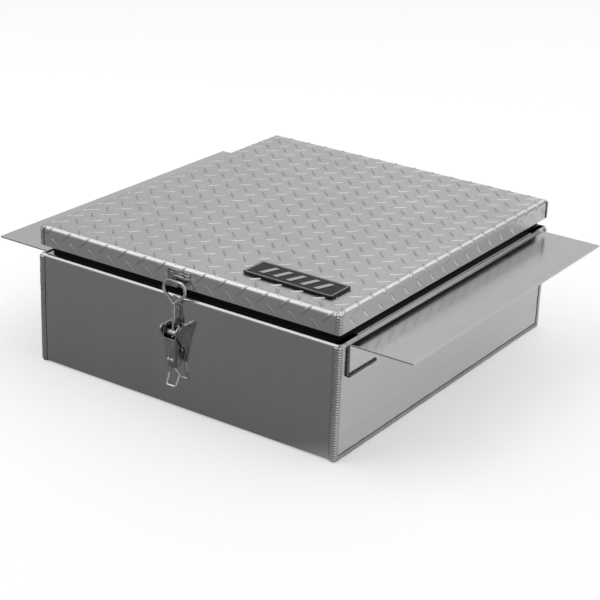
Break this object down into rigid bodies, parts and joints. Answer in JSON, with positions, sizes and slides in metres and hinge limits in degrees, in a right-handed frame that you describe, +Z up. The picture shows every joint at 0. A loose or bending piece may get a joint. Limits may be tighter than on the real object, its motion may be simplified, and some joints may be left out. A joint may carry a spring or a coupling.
{
  "type": "in-frame truck tool box",
  "caption": "Shallow welded aluminium truck tool box with two side wings that hang it between frame rails, a hinged tread-plate lid, a rubber seal and a draw latch.",
  "frame": {"origin": "middle of the tub's underside", "axes": "+Z up; -Y is the latch side, +Y the hinge side; the wings reach out along -X and +X"},
  "size_m": [0.84, 0.721, 0.2546],
  "materials": {
    "tub_aluminium": "mill finish with faint vertical grain, half glossy",
    "wing_aluminium": "mill finish, soft reflections",
    "tread_plate": "bright rolled tread plate",
    "weld_bead": "rippled bright weld bead",
    "seal_rubber": "matt black extruded rubber",
    "hinge_steel": "rolled stainless steel",
    "rivet_aluminium": "pressed rivet head, satin",
    "badge_black": "glossy black enamel",
    "badge_silver": "bright raised metal",
    "foam_tape": "matt foam",
    "latch_steel": "bright polished steel"
  },
  "bodies": {
    "tub": {"base_rivets": "latch_steel", "hinge_body_leaf": "hinge_steel", "hinge_body_rivets": "rivet_aluminium", "hinge_pin": "hinge_steel", "latch_base": "latch_steel", "left_edge_weld": "weld_bead", "left_side_panel": "tub_aluminium", "left_wing": "wing_aluminium", "left_wing_welds": "weld_bead", "pivot_rivets": "latch_steel", "right_edge_weld": "weld_bead", "right_side_panel": "tub_aluminium", "right_wing": "wing_aluminium", "right_wing_welds": "weld_bead", "tub_wrapper": "tub_aluminium", "weather_seal": "seal_rubber"},
    "lid": {"badge_bars": "badge_silver", "badge_border": "badge_silver", "badge_plate": "badge_black", "badge_tape": "foam_tape", "hinge_lid_leaf": "hinge_steel", "hinge_lid_rivets": "rivet_aluminium", "keeper_rivets": "latch_steel", "latch_keeper": "latch_steel", "lid_corner_welds": "weld_bead", "lid_pan": "tread_plate", "lid_seal_rails": "tub_aluminium"},
    "lever": {"latch_lever": "latch_steel", "plug_welds": "latch_steel", "pull_bail": "latch_steel"},
    "eye": {"eye_rod": "latch_steel", "latch_swivel": "latch_steel", "rod_nut": "latch_steel"}
  },
  "joints": [
    {"name": "lid_hinge", "type": "hinge", "parent": "tub", "child": "lid", "pos_m": [0, 0.347, 0.207], "axis": [-1, 0, 0], "range_deg": [0, 100]},
    {"name": "latch_lever", "type": "hinge", "parent": "tub", "child": "lever", "pos_m": [-0.005, -0.357, 0.148], "axis": [-1, 0, 0], "range_deg": [0, 105]},
    {"name": "eye_pivot", "type": "hinge", "parent": "lever", "child": "eye", "pos_m": [-0.005, -0.356, 0.139], "axis": [-1, 0, 0], "range_deg": [-97, 0]}
  ],
  "couplings": [
    {"joint": "eye_pivot", "follows": "latch_lever", "ratio": -0.92}
  ]
}
